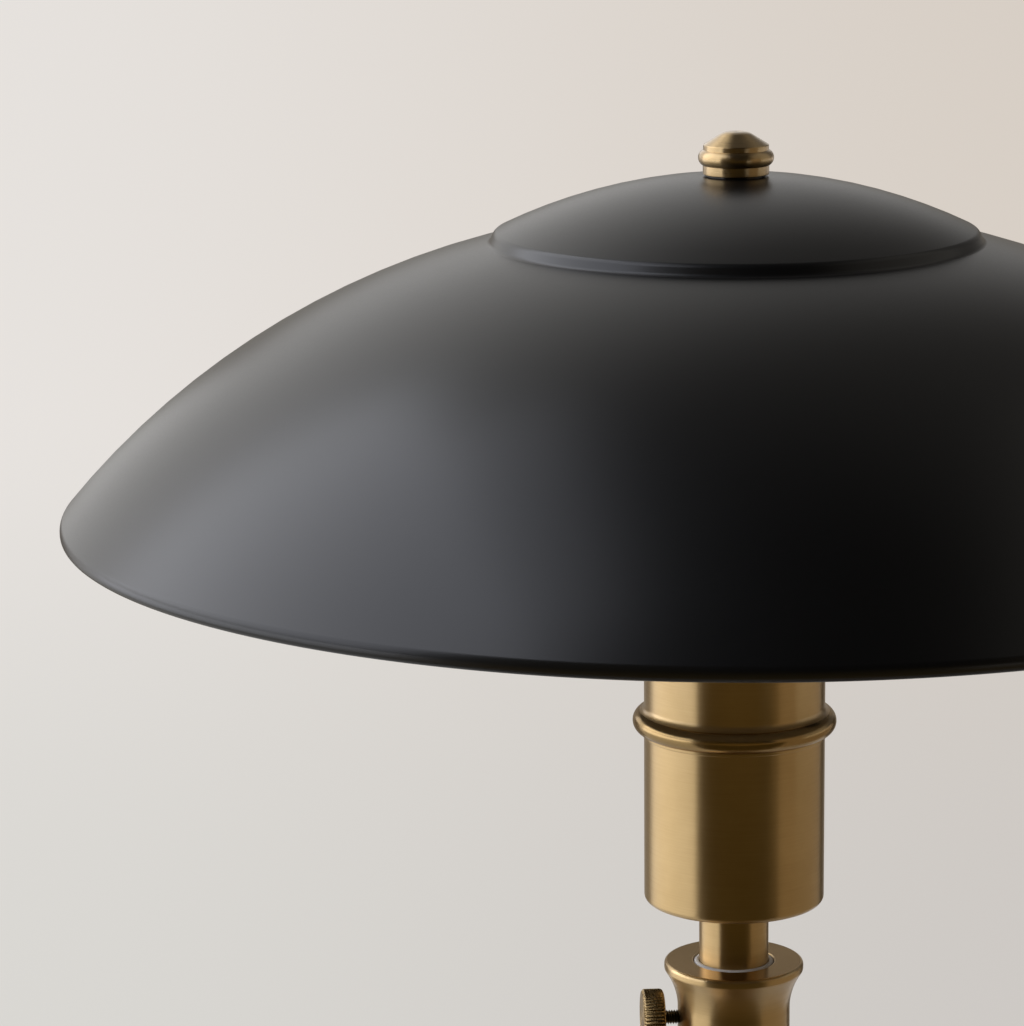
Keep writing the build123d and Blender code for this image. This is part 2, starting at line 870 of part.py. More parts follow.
os.makedirs("parts", exist_ok=True)
for piece in pieces:
    shape = piece()
    if isinstance(shape, list):
        shape = Compound(children=shape)
    export_step(shape, f"parts/{piece.__name__}.step")
    print(piece.__name__, round(shape.volume), "mm3")
print("shade top at", round(shade_top, 2), "mm, lowest stem end at", round(stem_bottom, 2), "mm")
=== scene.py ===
# %% [markdown]
# # A task lamp with a stepped dome shade
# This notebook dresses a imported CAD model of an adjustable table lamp. The model has real joints: the
# column slides and turns in a collar, a thumb screw clamps it, and the bulb, switch and finial turn.
# Blender adds what a CAD solid lacks: soft edges, smooth shading and finishes with grain and age.

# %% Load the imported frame
import json
from math import asin, cos, hypot, pi, radians, sin, sqrt, tan

import bmesh
import bpy
from mathutils import Matrix, Quaternion, Vector


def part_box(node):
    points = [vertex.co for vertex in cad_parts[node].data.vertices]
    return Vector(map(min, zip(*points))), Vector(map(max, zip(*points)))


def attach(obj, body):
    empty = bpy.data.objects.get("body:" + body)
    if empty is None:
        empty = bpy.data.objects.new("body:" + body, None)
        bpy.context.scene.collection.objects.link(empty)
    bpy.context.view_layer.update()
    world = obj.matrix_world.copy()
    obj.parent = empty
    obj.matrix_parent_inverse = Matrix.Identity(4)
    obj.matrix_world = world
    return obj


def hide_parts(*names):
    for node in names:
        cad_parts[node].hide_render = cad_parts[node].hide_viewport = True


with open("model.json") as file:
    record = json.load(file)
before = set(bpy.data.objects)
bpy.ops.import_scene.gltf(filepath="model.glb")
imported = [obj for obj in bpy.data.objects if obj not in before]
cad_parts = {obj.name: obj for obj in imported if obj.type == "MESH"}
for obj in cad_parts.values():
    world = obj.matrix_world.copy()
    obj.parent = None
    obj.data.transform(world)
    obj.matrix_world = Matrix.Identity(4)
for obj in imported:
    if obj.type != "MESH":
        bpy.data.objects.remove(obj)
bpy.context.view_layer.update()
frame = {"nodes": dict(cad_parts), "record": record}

# %% [markdown]
# ## Camera
# The photograph was taken with a long lens from a little above the shade. Its camera was found by
# fitting the rim's ellipse and the outlines of the cup and the collar. A camera can be aimed with a
# constraint, but a fixed direction is plainer: one heading, one tilt down and a focal length in pixels.

# %% Set up the camera
image_long_side = 1026
focal_pixels = 3981
camera_distance = 1.0458    # level distance from the column's axis
camera_height = 0.6205
camera_side = radians(6.7)  # the camera stands this far round towards the thumb screw
heading_left = 0.0572       # radians left of the column
tilt_down = 0.2083
camera_lean = -0.009        # the camera was held a little off level


def add_object(name, data):
    """Put an object with this data into the scene."""
    made = bpy.data.objects.new(name, data)
    bpy.context.scene.collection.objects.link(made)
    return made


station = Matrix.Rotation(-camera_side, 4, "Z")
lens = bpy.data.cameras.new("long_lens")
lens.sensor_width = 36
lens.lens = lens.sensor_width * focal_pixels / image_long_side
lens.clip_end = 100
camera = add_object("camera", lens)
bpy.context.scene.camera = camera
gaze = Vector((-sin(heading_left) * cos(tilt_down), cos(heading_left) * cos(tilt_down), -sin(tilt_down)))
aim = (station.to_3x3() @ gaze).to_track_quat("-Z", "Y")
camera.location = station @ Vector((0, -camera_distance, camera_height))
camera.rotation_euler = (aim @ Quaternion((0, 0, 1), camera_lean)).to_euler()
bpy.context.scene.view_settings.view_transform = "Standard"
print("camera at", [round(x, 3) for x in camera.location], "lens", round(lens.lens, 1), "mm")

# %% [markdown]
# ## Studio
# Black paint and brushed brass have almost no colour of their own: they show the room. So the room is
# built as the photographer built it: one large soft box at the left, a weak fill at the right, a pale
# sweep under and behind the lamp, and a dark side behind the camera. An HDRI could do this too, but a few
# plain lamps and cards can be moved one at a time.

# %% [markdown]
# Every finish below is a small tree of shader nodes. Adding nodes one by one takes many lines, so short
# helpers add a node, fill or link its inputs, and hand back the output that is wanted.

# %% Node helpers
def fill(tree, made, inputs):
    """Give each named input of a node its value, or link it to another node's output."""
    for name, value in inputs.items():
        if isinstance(value, bpy.types.NodeSocket):
            tree.links.new(value, made.inputs[name])
        else:
            made.inputs[name].default_value = value


def node(tree, kind, inputs=None, **settings):
    """Add a shader node, set its properties, and fill its inputs."""
    made = tree.nodes.new(kind)
    for name, value in settings.items():
        setattr(made, name, value)
    fill(tree, made, inputs or {})
    return made


def place_on(tree):
    """The place on the piece itself, so that a pattern stays put when the piece moves."""
    return node(tree, "ShaderNodeTexCoord").outputs["Object"]


def maths(tree, operation, *values):
    """One sum, such as ADD or MULTIPLY."""
    return node(tree, "ShaderNodeMath", dict(enumerate(values)), operation=operation).outputs[0]


def blend_colours(tree, amount, first, second):
    """A mix of two colours: 0 is all the first and 1 all the second."""
    return node(tree, "ShaderNodeMix", {0: amount, 6: first, 7: second}, data_type="RGBA").outputs[2]


def between(tree, value, low, high, to_low, to_high):
    """Map a value smoothly from one range to another."""
    span = {"Value": value, "From Min": low, "From Max": high, "To Min": to_low, "To Max": to_high}
    return node(tree, "ShaderNodeMapRange", span, interpolation_type="SMOOTHSTEP").outputs[0]


def along(tree, vector, axis):
    """How far a vector points along an axis."""
    return node(tree, "ShaderNodeVectorMath", {0: vector, 1: axis}, operation="DOT_PRODUCT").outputs["Value"]


print("node helpers ready")

# %% [markdown]
# The walls of the room are the world's colour. The corner behind the lamp on the left is lit, and the
# side of the camera is dark, so the black paint stays black where it faces us.

# %% World
lit_corner = (1.20, 1.18, 1.15, 1)
dim_side = (0.130, 0.122, 0.112, 1)
dark_room = (0.026, 0.023, 0.020, 1)
corner_direction = (-0.6, 0.8, 0.0)
dim_direction = (0.5, 0.85, 0.0)
corner_starts, corner_full = 0.30, 0.98
dim_starts, dim_full = -0.05, 0.55

world = bpy.data.worlds.new("studio")
bpy.context.scene.world = world
world.use_nodes = True
sky = world.node_tree
direction = node(sky, "ShaderNodeTexCoord").outputs["Generated"]
to_corner = along(sky, direction, corner_direction)
to_dim_side = along(sky, direction, dim_direction)
room = blend_colours(sky, between(sky, to_dim_side, dim_starts, dim_full, 0.0, 1.0), dark_room, dim_side)
room = blend_colours(sky, between(sky, to_corner, corner_starts, corner_full, 0.0, 1.0), room, lit_corner)
sky.links.new(room, sky.nodes["Background"].inputs["Color"])
print("world: bright in the left back corner, dark towards the camera")

# %% [markdown]
# The floor is a wide sheet of pale paper. Far from the lamp most of its look is a glow of set colour, which
# the camera, the metal and the glass all see alike. Near the lamp it takes light and keeps the lamp's shadow.
# The glow darkens towards the right and towards the camera: painted shade for the light of one soft box
# as it falls off.

# %% Floor
floor_size = 40.0
floor_drop = 0.0004


def keep_mesh(name, shape):
    """Keep a finished bmesh as a mesh."""
    mesh = bpy.data.meshes.new(name)
    shape.to_mesh(mesh)
    shape.free()
    return mesh


shape = bmesh.new()
bmesh.ops.create_grid(shape, x_segments=1, y_segments=1, size=floor_size / 2)
bmesh.ops.translate(shape, verts=shape.verts, vec=(0, 0, -floor_drop))
floor = add_object("floor", keep_mesh("floor", shape))
print("floor:", floor_size, "m across")

# %% [markdown]
# The paper's tone depends on where the camera sees a spot: how far to the right of the view's line, and how
# far back. Light path nodes tell a look at the paper from the light that it throws on the lamp.

# %% Paper
# The near and right tones are darker: painted shade for the soft box's falloff.
far_left, far_right = (0.840, 0.806, 0.774, 1), (0.720, 0.655, 0.590, 1)
near_left, near_right = (0.710, 0.695, 0.660, 1), (0.630, 0.600, 0.570, 1)
glow_share_near, glow_share_far = 0.15, 0.93
viewer_back, viewer_left, nearest = 1.04, 0.12, 0.3
slant_left, slant_right = -0.10, 0.22
depth_near, depth_far = 0.6, 2.4
shadow_inner, shadow_outer = 0.25, 0.75

paper = bpy.data.materials.new("pale_sweep")
paper.use_nodes = True
tree = paper.node_tree
spot = place_on(tree)
place = node(tree, "ShaderNodeSeparateXYZ", {"Vector": spot}).outputs
ahead = maths(tree, "MAXIMUM", maths(tree, "ADD", place["Y"], viewer_back), nearest)
slant = maths(tree, "DIVIDE", maths(tree, "ADD", place["X"], viewer_left), ahead)
to_right = between(tree, slant, slant_left, slant_right, 0.0, 1.0)
far_tone = blend_colours(tree, to_right, far_left, far_right)
near_tone = blend_colours(tree, to_right, near_left, near_right)
back = between(tree, place["Y"], depth_near, depth_far, 0.0, 1.0)
tone = blend_colours(tree, back, near_tone, far_tone)
glow = node(tree, "ShaderNodeEmission", {"Color": tone})
matt = node(tree, "ShaderNodeBsdfDiffuse", {"Color": tone})
rays = node(tree, "ShaderNodeLightPath").outputs
looked_at = maths(tree, "MAXIMUM", rays["Is Camera Ray"], rays["Is Transmission Ray"])
looked_at = maths(tree, "MAXIMUM", looked_at, rays["Is Glossy Ray"])
away = node(tree, "ShaderNodeVectorMath", {0: spot}, operation="LENGTH").outputs["Value"]
glow_share = between(tree, away, shadow_inner, shadow_outer, glow_share_near, glow_share_far)
share = maths(tree, "MULTIPLY", looked_at, glow_share)
both = node(tree, "ShaderNodeMixShader", {0: share, 1: matt.outputs[0], 2: glow.outputs[0]})
tree.links.new(both.outputs[0], tree.nodes["Material Output"].inputs["Surface"])
floor.data.materials.append(paper)
print("floor's finish:", paper.name)

# %% [markdown]
# Each soft box is placed by its direction from the shade: an azimuth from the front, negative to the
# left, and a height angle. Its radiance stays the same whatever its size.

# %% Lamps
shade_height = 0.42
cool_light, warm_light = (0.97, 1.0, 1.11), (1.0, 0.94, 0.84)


def soft_box(name, azimuth, height_angle, distance, width, height, radiance, colour):
    """A flat, even lamp that faces the shade."""
    light = bpy.data.lights.new(name, "AREA")
    light.shape = "RECTANGLE"
    light.size = width
    light.size_y = height
    light.energy = radiance * pi * width * height
    light.color = colour
    lamp = add_object(name, light)
    around, up = radians(azimuth), radians(height_angle)
    outward = Vector((sin(around) * cos(up), -cos(around) * cos(up), sin(up)))
    lamp.location = Vector((0, 0, shade_height)) + outward * distance
    lamp.rotation_euler = (-outward).to_track_quat("-Z", "Y").to_euler()
    return lamp


soft_box("key_left", -91, 35, 1.70, 2.80, 1.80, 1.9, cool_light)
soft_box("key_top", -92, 67, 1.70, 1.4, 0.45, 0.9, cool_light)
soft_box("bounce_left", -92, -7, 1.25, 1.9, 0.40, 1.6, cool_light)
soft_box("fill_right", 88, 26, 1.75, 2.1, 2.3, 0.20, warm_light)

# %% [markdown]
# A photographer shapes the bands on a polished cylinder with cards: dark in front for the dark core, grey
# at the right, and a flag for each far edge. Here each card is a board that glows with a set colour, so
# what the metal shows of it is a painted reflection: the dark ones paint shade into the brass, the paler
# ones paint dimly lit surroundings. A ray from a high piece runs out further before it meets the table's
# level, so each height of the lamp has its own card, further out for the finial than for the collar. Only
# reflections see these cards, so they cast no shadow and hide nothing.

# %% Cards
def card(name, start, end, height, glow):
    """An upright board over the line between two points of the floor, glowing with a painted reflection
    colour.
    """
    line = Vector(end) - Vector(start)
    shape = bmesh.new()
    bmesh.ops.create_grid(shape, x_segments=1, y_segments=1, size=0.5)
    bmesh.ops.rotate(shape, verts=shape.verts, matrix=Matrix.Rotation(radians(90), 3, "X"))
    bmesh.ops.scale(shape, verts=shape.verts, vec=(line.length, 1, height))
    bmesh.ops.rotate(shape, verts=shape.verts, matrix=line.to_3d().to_track_quat("X", "Z").to_matrix())
    middle = (Vector(start) + Vector(end)) / 2
    bmesh.ops.translate(shape, verts=shape.verts, vec=(middle.x, middle.y, height / 2))
    board = add_object(name, keep_mesh(name, shape))
    paint = bpy.data.materials.new(name)
    paint.use_nodes = True
    shine = node(paint.node_tree, "ShaderNodeEmission", {"Color": glow})
    paint.node_tree.links.new(shine.outputs[0], paint.node_tree.nodes["Material Output"].inputs["Surface"])
    board.data.materials.append(paint)
    for kind in ("camera", "diffuse", "transmission", "volume_scatter", "shadow"):
        setattr(board, "visible_" + kind, False)
    return board


# Each glow below is a painted reflection: dark ones paint shade, paler ones dim surroundings.
cards = [
    card("brown_card_collar", (-0.14, -0.105), (0.13, -0.105), 0.20, (0.110, 0.075, 0.030, 1)),
    card("black_card_cup", (-0.28, -0.21), (0.25, -0.21), 0.305, (0.062, 0.045, 0.015, 1)),
    card("brown_card_sleeve", (-0.56, -0.42), (0.50, -0.42), 0.33, (0.200, 0.140, 0.058, 1)),
    card("black_card_finial", (-0.76, -0.60), (0.30, -0.60), 0.48, (0.085, 0.060, 0.020, 1)),
    card("tan_card_finial", (0.45, -0.56), (0.80, -0.20), 0.75, (0.300, 0.235, 0.155, 1)),
    card("black_card_tall", (-0.62, -0.44), (-0.16, -0.64), 1.15, (0.050, 0.036, 0.012, 1)),
    card("grey_card_right", (0.25, -0.21), (0.52, 0.44), 0.30, (0.290, 0.225, 0.145, 1)),
    card("dark_flag_right", (0.45, 0.40), (0.31, 0.52), 0.36, (0.060, 0.045, 0.025, 1)),
    card("dark_flag_left", (-0.40, 0.445), (-0.25, 0.545), 0.36, (0.170, 0.140, 0.105, 1)),
    card("grey_card_back", (-0.25, 0.545), (0.31, 0.52), 0.53, (0.270, 0.235, 0.190, 1)),
]
print("cards:", [board.name for board in cards])

# %% [markdown]
# ## Turning pieces on a lathe
# Almost every piece of this lamp was turned or spun, so it is a half outline swept round one axis. A
# Screw modifier could do it, but bmesh's spin leaves a real mesh whose ring edges can then be bevelled,
# each with the rounding that the maker's tool left. The outline is drawn with a pen: straight strokes
# are extruded, and curved ones are a point spun about the curve's centre.

# %% The pen
mm = 0.001
arc_step = radians(2.5)


def stroke(shape, pen, point):
    """Draw a line to (radius, height), or an arc to (radius, height, curve). A minus bends it outward."""
    start = pen.co.copy()
    end = Vector((point[0] * mm, 0, point[1] * mm))
    if len(point) == 2:
        drawn = bmesh.ops.extrude_vert_indiv(shape, verts=[pen])["verts"]
        bmesh.ops.translate(shape, verts=drawn, vec=end - start)
        return drawn[0]
    radius = point[2] * mm
    chord = end - start
    turn = 2 * asin(chord.length / 2 / radius)
    side = Vector((chord.z, 0, -chord.x)).normalized()
    centre = (start + end) / 2 + side * (radius * cos(turn / 2))
    steps = max(4, round(abs(turn) / arc_step))
    drawn = bmesh.ops.spin(shape, geom=[pen], cent=centre, axis=(0, 1, 0), angle=turn, steps=steps)
    return next(part for part in drawn["geom_last"] if isinstance(part, bmesh.types.BMVert))


print("pen ready: arcs turn", round(arc_step * 180 / pi, 1), "degrees at a time")

# %% [markdown]
# The lathe spins the outline, and then rounds the ring edges of the corners that are named. Bevelling
# the outline itself would be simpler, but a bevel of faces also keeps the loops even round the piece.

# %% The lathe
same_place, same_ring = 1e-6, 2e-6  # metres


def ring_edges(shape, radius, height):
    """The edges that lie on the circle of a corner of the outline."""
    def on_circle(vertex):
        return hypot(vertex.co.xy.length - radius * mm, vertex.co.z - height * mm) < same_ring
    return [edge for edge in shape.edges if all(on_circle(vertex) for vertex in edge.verts)]


def soften(shape, edges, rounding, segments):
    """Round edges to a radius: a bevel's offset is the rounding times the tangent of half the turn."""
    turn = edges[0].calc_face_angle()
    bmesh.ops.bevel(shape, geom=edges, offset=rounding * mm * tan(turn / 2), offset_type="OFFSET",
                    affect="EDGES", segments=segments, profile=0.5, material=-1, clamp_overlap=True)


def bulge(rise, half_height):
    """The curve of one half of a bead that stands out by its rise."""
    return -(rise ** 2 + half_height ** 2) / (2 * rise)


def lathe(outline, rounds=(), steps=128, closed=True):
    """Spin an outline of (radius, height) about Z, then round its corners: (radius, height, rounding)."""
    shape = bmesh.new()
    pen = bmesh.ops.create_vert(shape, co=(outline[0][0] * mm, 0, outline[0][1] * mm))["vert"][0]
    for point in outline[1:]:
        pen = stroke(shape, pen, point)
    if closed:
        stroke(shape, pen, outline[0][:2])
    bmesh.ops.spin(shape, geom=shape.verts[:] + shape.edges[:], cent=(0, 0, 0), axis=(0, 0, 1),
                   angle=2 * pi, steps=steps, use_merge=True)
    bmesh.ops.remove_doubles(shape, verts=shape.verts, dist=same_place)
    bmesh.ops.recalc_face_normals(shape, faces=shape.faces)
    for radius, height, rounding in rounds:
        edges = ring_edges(shape, radius, height)
        soften(shape, edges, rounding, segments=6 if rounding >= 1 else 3)
    return shape


print("lathe ready")

# %% [markdown]
# Each new piece rides on the body of the CAD part that it stands for, so a joint moves both alike. Shading
# is smooth, with crisp edges kept where two faces meet at a clear angle. A bevel on every edge could do
# without that rule, but it would cost many faces that no one sees.

# %% Hanging a piece in the scene
crease = radians(32)


def piece(name, shape, finish, body, nodes):
    """Make an object from a bmesh, shade it, and let it ride on a body in place of CAD nodes."""
    for edge in shape.edges:
        edge.smooth = edge.is_boundary or edge.calc_face_angle(0) < crease
    for face in shape.faces:
        face.smooth = True
    made = add_object(name, keep_mesh(name, shape))
    made.data.materials.append(finish)
    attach(made, body)
    if nodes:
        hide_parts(*nodes)
    return made


def even_shading(made):
    """Let large faces set the normals, so that a bevel doesn't bend the light on the flat beside it."""
    made.modifiers.new("even_shading", "WEIGHTED_NORMAL").keep_sharp = True
    return made


print("edges sharper than", round(crease * 180 / pi), "degrees stay crisp")

# %% [markdown]
# ## Antique brass
# The brass was turned, brushed on the lathe and darkened. Its scratches run round the axis, so light
# spreads along the axis and stays sharp across it: upright bands with clean edges. An anisotropic shader
# with a radial tangent does that. Fine rings of noise give the brushing, and a slow noise the age.

# %% Rings of brushing
ring_fineness, ring_length, radial_share = 2600.0, 55.0, 1.37
noise_low, noise_high = 0.3, 0.7  # most of a noise lies between these


def finish_tree(name):
    """A new material, with its tree of nodes and its main shader."""
    made = bpy.data.materials.new(name)
    made.use_nodes = True
    return made, made.node_tree, made.node_tree.nodes["Principled BSDF"]


def noise(tree, vector, scale, detail, **more):
    """A cloudy pattern from 0 to 1. More sets its other inputs by their names."""
    inputs = {"Vector": vector, "Scale": scale, "Detail": detail, **more}
    return node(tree, "ShaderNodeTexNoise", inputs).outputs["Fac"]


def bump(tree, height, strength, distance):
    """Relief that bends the light without moving the surface."""
    inputs = {"Height": height, "Strength": strength, "Distance": distance}
    return node(tree, "ShaderNodeBump", inputs).outputs[0]


def lathe_rings(tree, centre, turn):
    """Noise stretched round the piece's own axis, as brushing on a lathe leaves it."""
    local = node(tree, "ShaderNodeMapping", {"Vector": place_on(tree), "Location": centre, "Rotation": turn},
                 vector_type="TEXTURE").outputs[0]
    axes = node(tree, "ShaderNodeSeparateXYZ", {"Vector": local}).outputs
    squares = [maths(tree, "MULTIPLY", axes[axis], axes[axis]) for axis in "XY"]
    radius = maths(tree, "SQRT", maths(tree, "ADD", *squares))
    outward = maths(tree, "MULTIPLY_ADD", radius, radial_share, axes["Z"])
    lengthwise = maths(tree, "MULTIPLY", outward, ring_fineness)
    around = [maths(tree, "MULTIPLY", axes[axis], ring_length) for axis in "XY"]
    stretched = node(tree, "ShaderNodeCombineXYZ", {"X": around[0], "Y": around[1], "Z": lengthwise})
    return local, radius, noise(tree, stretched.outputs[0], 1.0, 3.0, Roughness=0.65)


print("brushing ready")

# %% [markdown]
# One function makes every metal of the lamp. Its two colours are mixed by the rings and the age, a film
# of lacquer adds a pale shine over the warm metal, and the spread sets how strongly it was brushed.

# %% Brushed brass
brass_light = (0.60, 0.420, 0.195, 1)
brass_dark = (0.51, 0.345, 0.145, 1)
brass_roughness = 0.33
rings_share, age_share = 0.30, 0.70


def tinted(colour, factor):
    """The same colour, lighter or darker by a factor."""
    return tuple(min(1.0, factor * channel) for channel in colour[:3]) + (1,)


def brushed_metal(name, light, dark, roughness, centre=(0, 0, 0), turn=(0, 0, 0), axis="Z", lacquer=0.0,
                  spread=0.90, valley=None):
    """Metal brushed on the lathe about an axis, under lacquer, with painted shade in a valley: (radius,
    depth).
    """
    made, tree, shader = finish_tree(name)
    local, radius, rings = lathe_rings(tree, centre, turn)
    age = noise(tree, local, 38.0, 4.0, Roughness=0.6)
    mixed = maths(tree, "MULTIPLY_ADD", rings, rings_share, maths(tree, "MULTIPLY", age, age_share))
    colour = blend_colours(tree, between(tree, mixed, 0.25, 0.75, 0.0, 1.0), dark, light)
    # Painted shade: the colour darkens towards the bottom of the valley.
    if valley:
        low, high = valley[0] * mm, (valley[0] + valley[1]) * mm
        colour = blend_colours(tree, between(tree, radius, low, high, 0.0, 1.0), tinted(dark, 0.32), colour)
    tangent = node(tree, "ShaderNodeTangent", direction_type="RADIAL", axis=axis)
    fill(tree, shader, {
        "Base Color": colour,
        "Roughness": between(tree, rings, noise_low, noise_high, roughness + 0.03, roughness - 0.03),
        "Metallic": 1.0,
        "Coat Weight": lacquer,
        "Coat Roughness": 0.25,
        "Anisotropic": spread,
        "Anisotropic Rotation": 0.25,
        "Tangent": tangent.outputs[0],
        "Normal": bump(tree, rings, 0.06, 0.00004)})
    return made


antique_brass = brushed_metal("antique_brass", brass_light, brass_dark, brass_roughness, lacquer=0.8)
# Polished brass is smoother and barely brushed; its darker colours are painted shade.
shaded_polish_light = (0.42, 0.290, 0.135, 1)
shaded_polish_dark = (0.35, 0.235, 0.100, 1)
polished_shaded_brass = brushed_metal("antique_brass_polished_shaded", shaded_polish_light, shaded_polish_dark, 0.22, spread=0.2)
print("finishes:", antique_brass.name, polished_shaded_brass.name)

# %% [markdown]
# ## Shade
# The shade is one disc of steel, spun over a wooden former and powder-coated. Its outline is a shallow
# crown, a small step, a deep dome and an upright edge turned in at the bottom. It is drawn once, spun,
# and given its wall by a solidify, so that the step shows inside as it does on spun metal.

# %% [markdown]
# The paint is black with a fine grain. Its gloss is low and a little uneven, which two noises give: a
# small one for the powder's grain and a slow one for the spray. The inside is a dull warm grey.

# %% Shade paint
paint_black = (0.0012, 0.0012, 0.0014, 1)
paint_roughness = 0.30


def powder_coat(name, colour, roughness, grain_size, grain_depth):
    """Paint baked from powder: a fine even grain that breaks the gloss a little."""
    cloud_gloss, grain_gloss = 0.06, 0.05
    made, tree, shader = finish_tree(name)
    spot = place_on(tree)
    grain = noise(tree, spot, 1 / grain_size, 2.0)
    cloud = noise(tree, spot, 14.0, 3.0)
    patches = between(tree, cloud, noise_low, noise_high, 0.0, 1.0)
    mottled = maths(tree, "ADD", maths(tree, "MULTIPLY", cloud, cloud_gloss),
                    maths(tree, "MULTIPLY", grain, grain_gloss))
    fill(tree, shader, {
        "Base Color": blend_colours(tree, patches, colour, tinted(colour, 1.12)),
        "Roughness": maths(tree, "ADD", mottled, roughness - (cloud_gloss + grain_gloss) / 2),
        "Normal": bump(tree, grain, 0.18, grain_depth)})
    return made


black_paint = powder_coat("shade_black", paint_black, paint_roughness, 0.0007, 0.00003)
inside_paint = powder_coat("shade_inside", (0.150, 0.130, 0.100, 1), 0.45, 0.0007, 0.00003)
print("finishes:", black_paint.name, inside_paint.name)

# %% [markdown]
# Spun metal starts as an open sheet. The side that will be seen has to look up before the sheet gets its
# wall, because the solidify then grows inwards and the outer size stays true.

# %% Sheet metal
def face_up(shape):
    """Turn an open sheet so that its outside looks up."""
    if max(shape.faces, key=lambda face: face.calc_center_median().z).normal.z < 0:
        bmesh.ops.reverse_faces(shape, faces=shape.faces)


def add_wall(made, thickness):
    """Give an open sheet a wall on its inner side."""
    wall = made.modifiers.new("sheet_wall", "SOLIDIFY")
    wall.thickness = thickness * mm
    wall.offset = -1
    wall.use_even_offset = True
    return wall


print("sheet metal ready")

# %% [markdown]
# The outline starts at the stud's hole and ends at the turned-in hem. Each corner then gets its own
# rounding, from the soft nose of the step to the tight edge of the hem.

# %% Shade
shade_low, shade_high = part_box("shade")
shade_top = shade_high.z / mm
rim_radius = shade_high.x / mm
hem_level = shade_low.z / mm
seat_radius, crown_radius, step_foot = 11.0, 64.0, 65.3
crown_curve, dome_curve = 145.85, 215.9
step_height, rim_height, hem_width = 2.76, 3.2, 3.6
crown_centre = shade_top - sqrt(crown_curve ** 2 - seat_radius ** 2)
crown_level = crown_centre + sqrt(crown_curve ** 2 - crown_radius ** 2)
step_level = crown_level - step_height
rim_level = hem_level + rim_height
hem_radius = rim_radius - hem_width
stud_hole = 3.4
shade_wall = 1.0

shape = lathe(
    [(stud_hole, shade_top), (seat_radius, shade_top), (crown_radius, crown_level, crown_curve),
     (step_foot, step_level), (rim_radius, rim_level, dome_curve), (rim_radius, hem_level),
     (hem_radius, hem_level)],
    rounds=[(crown_radius, crown_level, 2.2), (step_foot, step_level, 1.6), (rim_radius, rim_level, 3.0),
            (rim_radius, hem_level, 1.5)],
    steps=256, closed=False)
face_up(shape)
shade = piece("dome_shade", shape, black_paint, "head", ["shade"])
shade.data.materials.append(inside_paint)
add_wall(shade, shade_wall).material_offset = 1
even_shading(shade)
print("shade:", len(shade.data.polygons), "faces, rim", round(2 * rim_radius), "mm across")

# %% [markdown]
# ## Finial
# A turned brass nut with a half-round bead and a cone holds the shade on its stud. It is one outline
# on the lathe. Tiny bevels on its corners catch the light, as the turned edges do.

# %% Finial
finial_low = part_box("finial")[0].z / mm
foot, bead, neck, tip = 8.75, 10.0, 8.65, 3.2
foot_top, bead_top, neck_top, top = [finial_low + rise for rise in (2.4, 6.5, 7.8, 11.2)]
crest = (foot_top + bead_top) / 2
half_bead = (bead_top - foot_top) / 2
recess, recess_top, thread, thread_top = 7.85, finial_low + 1.15, 3.23, finial_low + 8.4

# The finial gets a darker copy of the brass: painted shade, so its bead doesn't glare in the soft box's
# light.
shaded_finial_light, shaded_finial_dark = (0.50, 0.350, 0.160, 1), (0.41, 0.275, 0.115, 1)
shaded_finial_brass = brushed_metal("antique_brass_finial_shaded", shaded_finial_light, shaded_finial_dark, 0.30, lacquer=0.8)
finial = even_shading(piece("finial_nut", lathe(
    [(recess, finial_low), (foot, finial_low), (foot, foot_top), (bead, crest, bulge(bead - foot, half_bead)),
     (neck, bead_top, bulge(bead - neck, half_bead)), (neck, neck_top), (tip, top), (0, top), (0, thread_top),
     (thread, thread_top), (thread, recess_top), (recess, recess_top)],
    rounds=[(foot, finial_low, 0.25), (neck, neck_top, 0.35), (tip, top, 4.0), (recess, finial_low, 0.15)],
    steps=96), shaded_finial_brass, "finial", ["finial"]))
print("finial:", len(finial.data.polygons), "faces")

# %% [markdown]
# ## Socket cup and sleeve
# A plain drawn cup carries the lamp holder, and a sleeve stands on its rim. The sleeve's foot laps over
# the cup as a thin lip under a half-round bead, which hides the joint. Both are closed outlines with
# their wall drawn in, because the wall changes along the sleeve.

# %% Cup
cup_low, cup_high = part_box("socket_cup")
cup_level, cup_rim, cup_radius = cup_low.z / mm, cup_high.z / mm, cup_high.x / mm
cup_wall, pipe_hole = 1.2, 5.05
cup_bore, cup_floor = cup_radius - cup_wall, cup_level + cup_wall

cup = even_shading(piece("socket_cup_shell", lathe(
    [(pipe_hole, cup_level), (cup_radius, cup_level), (cup_radius, cup_rim), (cup_bore, cup_rim),
     (cup_bore, cup_floor), (pipe_hole, cup_floor)],
    rounds=[(cup_radius, cup_level, 1.6), (cup_bore, cup_floor, 0.4), (cup_radius, cup_rim, 0.2)],
    steps=160), antique_brass, "head", ["socket_cup"]))
print("cup:", round(2 * cup_radius, 1), "mm across")

# %% [markdown]
# The sleeve's bead was polished after it was brushed, so its faces get the smoother polished finish, whose
# darker colour is painted shade. A separate ring could carry that finish, but on the real sleeve the bead is
# rolled from the same sheet. So a cove, an arc that meets the bead's arc and the wall smoothly, leads from
# the one into the other.

# %% Sleeve
sleeve_low, sleeve_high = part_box("socket_sleeve")
lap, sleeve_top, bead_radius = sleeve_low.z / mm, sleeve_high.z / mm, sleeve_high.x / mm
lip_wall, lap_play = 0.6, 0.05
lip_radius, lap_bore = cup_radius + lip_wall, cup_radius + lap_play
bead_low, bead_high = [lap + rise for rise in (0.9, 7.0)]
crest = (bead_low + bead_high) / 2
half_bead = (bead_high - bead_low) / 2
cove = 2.0
bead_middle = bead_radius - half_bead
cove_out = cup_radius + cove - bead_middle
cove_up = sqrt((half_bead + cove) ** 2 - cove_out ** 2)
bead_share = half_bead / (half_bead + cove)
meeting_radius, meeting_level = bead_middle + bead_share * cove_out, crest + bead_share * cove_up

